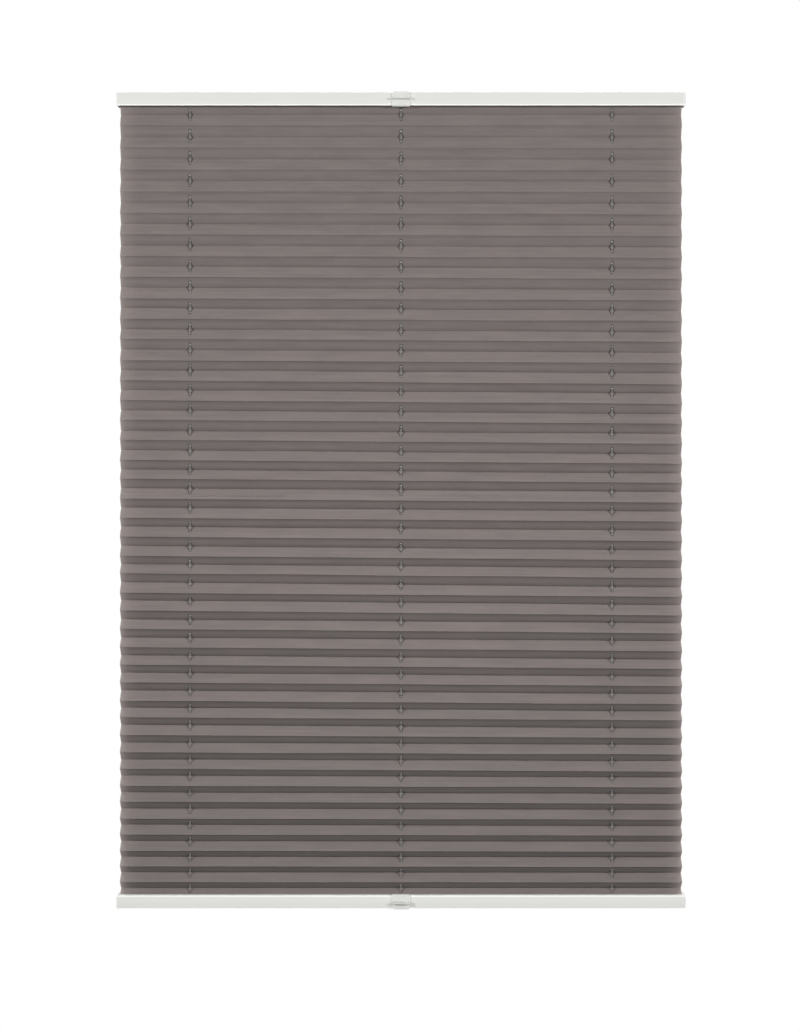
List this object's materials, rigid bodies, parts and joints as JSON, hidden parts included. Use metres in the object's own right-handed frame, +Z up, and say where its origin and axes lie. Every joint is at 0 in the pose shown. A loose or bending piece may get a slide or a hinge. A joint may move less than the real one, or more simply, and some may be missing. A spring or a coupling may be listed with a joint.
{
  "type": "pleated blind",
  "caption": "Pleated fabric blind between two sliding white rails, held on taut cords by shoes that screw to a window frame, with clear clip-on handles.",
  "frame": {"origin": "middle of the upper fixing plane, between the two screw holes of the top middle shoe", "axes": "+X along the rails to the right, +Y to the back (the window), +Z up"},
  "size_m": [0.9, 0.035, 1.294],
  "materials": {
    "rail": "satin white powder coat",
    "end_cap": "satin white moulded",
    "handle": "clear moulded",
    "pleated_fabric": "crease-set polyester weave, taupe grey",
    "fabric_strip": "extruded",
    "cord": "braided light grey",
    "cord_guide": "moulded white",
    "shoe": "moulded white",
    "ferrule": "crimped",
    "spring": "wire"
  },
  "bodies": {
    "root": {"top_left_shoe": "shoe", "top_middle_shoe": "shoe", "top_right_shoe": "shoe", "bottom_left_shoe": "shoe", "bottom_middle_shoe": "shoe", "bottom_right_shoe": "shoe", "top_left_ferrule": "ferrule", "top_middle_ferrule": "ferrule", "top_right_ferrule": "ferrule", "bottom_left_ferrule": "ferrule", "bottom_middle_ferrule": "ferrule", "bottom_right_ferrule": "ferrule", "left_tension_spring": "spring", "middle_tension_spring": "spring", "right_tension_spring": "spring", "left_cord": "cord", "middle_cord": "cord", "right_cord": "cord", "pleated_fabric": "pleated_fabric"},
    "top_rail_body": {"top_rail": "rail", "top_fabric_strip": "fabric_strip", "top_left_end_cap": "end_cap", "top_right_end_cap": "end_cap", "top_left_cord_guide": "cord_guide", "top_middle_cord_guide": "cord_guide", "top_right_cord_guide": "cord_guide"},
    "top_handle_body": {"top_handle": "handle"},
    "bottom_rail_body": {"bottom_rail": "rail", "bottom_fabric_strip": "fabric_strip", "bottom_left_end_cap": "end_cap", "bottom_right_end_cap": "end_cap", "bottom_left_cord_guide": "cord_guide", "bottom_middle_cord_guide": "cord_guide", "bottom_right_cord_guide": "cord_guide"},
    "bottom_handle_body": {"bottom_handle": "handle"}
  },
  "joints": [
    {"name": "top_rail_slide", "type": "slide", "parent": "root", "child": "top_rail_body", "axis": [0, 0, -1], "range_m": [0, 0.6], "deforming": ["pleated_fabric"]},
    {"name": "bottom_rail_slide", "type": "slide", "parent": "root", "child": "bottom_rail_body", "axis": [0, 0, 1], "range_m": [0, 0.6], "deforming": ["pleated_fabric"]},
    {"name": "top_handle_slide", "type": "slide", "parent": "top_rail_body", "child": "top_handle_body", "axis": [1, 0, 0], "range_m": [-0.42, 0.42]},
    {"name": "bottom_handle_slide", "type": "slide", "parent": "bottom_rail_body", "child": "bottom_handle_body", "axis": [1, 0, 0], "range_m": [-0.42, 0.42]}
  ]
}
